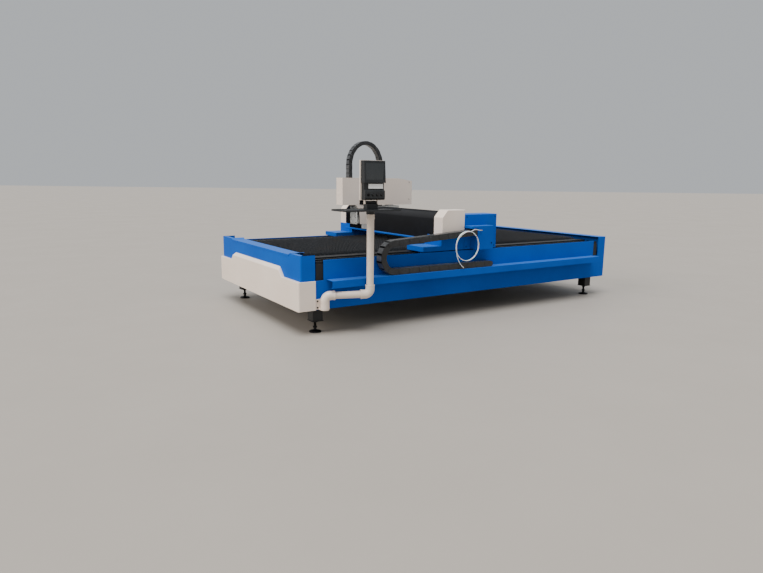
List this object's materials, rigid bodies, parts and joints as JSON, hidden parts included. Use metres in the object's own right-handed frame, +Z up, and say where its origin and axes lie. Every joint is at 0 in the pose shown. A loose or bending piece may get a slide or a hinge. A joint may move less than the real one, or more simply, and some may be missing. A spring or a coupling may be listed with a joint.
{
  "type": "fiber laser cutting machine",
  "caption": "Open flat-bed laser cutter: slatted table between two ways, gantry with bellows and arched chain, swivelling console.",
  "frame": {"origin": "bottom centre of the whole machine's box, on the floor", "axes": "+X along the bed from the covered front end to the rear, +Y across the bed away from the console, +Z up"},
  "size_m": [4.835, 2.8234, 2.1288],
  "materials": {
    "blue": "bright blue gloss paint",
    "cream": "warm light grey paint",
    "black": "black paint",
    "slat": "dark scaled steel",
    "steel": "ground steel",
    "alloy": "machined",
    "rubber": "coated cloth",
    "chain": "black plastic",
    "plastic": "dark grey paint",
    "hose": "white tube"
  },
  "bodies": {
    "bed": {"bed_side_near": "black", "bed_side_far": "black", "bed_cross_front": "black", "bed_cross_middle": "black", "bed_cross_rear": "black", "side_panel_near": "blue", "side_panel_far": "blue", "skirt_panel_near": "blue", "skirt_panel_far": "blue", "chain_shelf": "blue", "front_cover_upper": "blue", "front_cover_lower": "cream", "rear_cover": "blue", "rail_near": "steel", "rail_far": "steel", "rack_near": "steel", "rack_far": "steel", "slat_table": "slat", "scrap_tray": "black", "leg_near_front": "black", "leg_near_rear": "black", "leg_far_front": "black", "leg_far_rear": "black", "arm_base": "cream"},
    "gantry": {"beam": "blue", "beam_flange": "blue", "saddle_near": "blue", "saddle_far": "blue", "block_near": "blue", "block_far": "blue", "end_cover_near": "cream", "end_cover_far": "cream", "x_motor_near": "black", "x_motor_far": "black", "chain_bracket": "blue", "bellows_near": "rubber", "bellows_far": "rubber", "x_chain": "chain", "y_chain": "chain", "hose_coil": "hose", "hose_lead": "hose", "hose_tail": "hose"},
    "pinion_near": {"pinion_near": "steel"},
    "pinion_far": {"pinion_far": "steel"},
    "carriage": {"carriage_plate": "alloy", "carriage_cover": "cream", "z_housing": "alloy", "z_chain": "chain"},
    "door": {"carriage_door": "cream"},
    "z_slide": {"z_plate": "alloy"},
    "arm": {"arm": "cream"},
    "console_mount": {"console_tray": "plastic"},
    "console_head": {"console_back": "cream", "monitor": "plastic", "control_box": "plastic"},
    "button_1": {"button_1": "plastic"},
    "button_2": {"button_2": "plastic"},
    "button_3": {"button_3": "plastic"},
    "button_4": {"button_4": "plastic"}
  },
  "joints": [
    {"name": "gantry_travel", "type": "slide", "parent": "bed", "child": "gantry", "axis": [1, 0, 0], "range_m": [-1.25, 1.85], "deforming": ["x_chain"]},
    {"name": "pinion_near_spin", "type": "hinge", "parent": "gantry", "child": "pinion_near", "pos_m": [0.0125, -0.94983, 0.745], "axis": [0, 0, 1], "continuous": true},
    {"name": "pinion_far_spin", "type": "hinge", "parent": "gantry", "child": "pinion_far", "pos_m": [0.0125, 1.32917, 0.745], "axis": [0, 0, 1], "continuous": true},
    {"name": "carriage_travel", "type": "slide", "parent": "gantry", "child": "carriage", "axis": [0, 1, 0], "range_m": [-1.265, 0.235], "deforming": ["bellows_near", "bellows_far", "y_chain"]},
    {"name": "z_travel", "type": "slide", "parent": "carriage", "child": "z_slide", "axis": [0, 0, 1], "range_m": [-0.08, 0.05], "deforming": ["z_chain"]},
    {"name": "carriage_door_hinge", "type": "hinge", "parent": "carriage", "child": "door", "pos_m": [-0.675, 0.61467, 1.26], "axis": [0, 0, 1], "range_deg": [0, 110]},
    {"name": "arm_swivel", "type": "hinge", "parent": "bed", "child": "arm", "pos_m": [-2.1405, -1.08033, 0.2875], "axis": [0, 0, 1], "range_deg": [-100, 0]},
    {"name": "console_swivel", "type": "hinge", "parent": "arm", "child": "console_mount", "pos_m": [-1.68388, -1.22167, 1.255], "axis": [0, 0, 1], "range_deg": [-90, 90]},
    {"name": "console_tilt", "type": "hinge", "parent": "console_mount", "child": "console_head", "pos_m": [-1.68388, -1.22167, 1.375], "axis": [1, 0, 0], "range_deg": [-15, 15]},
    {"name": "button_1_press", "type": "slide", "parent": "console_head", "child": "button_1", "axis": [0, 1, 0], "range_m": [0, 0.003], "stiffness_N_per_m": 600, "springref_m": -0.001},
    {"name": "button_2_press", "type": "slide", "parent": "console_head", "child": "button_2", "axis": [0, 1, 0], "range_m": [0, 0.003], "stiffness_N_per_m": 600, "springref_m": -0.001},
    {"name": "button_3_press", "type": "slide", "parent": "console_head", "child": "button_3", "axis": [0, 1, 0], "range_m": [0, 0.003], "stiffness_N_per_m": 600, "springref_m": -0.001},
    {"name": "button_4_press", "type": "slide", "parent": "console_head", "child": "button_4", "axis": [0, 1, 0], "range_m": [0, 0.003], "stiffness_N_per_m": 600, "springref_m": -0.001}
  ],
  "couplings": [
    {"joint": "pinion_near_spin", "follows": "gantry_travel", "rad_per_m": -33.333},
    {"joint": "pinion_far_spin", "follows": "gantry_travel", "rad_per_m": 33.333}
  ]
}
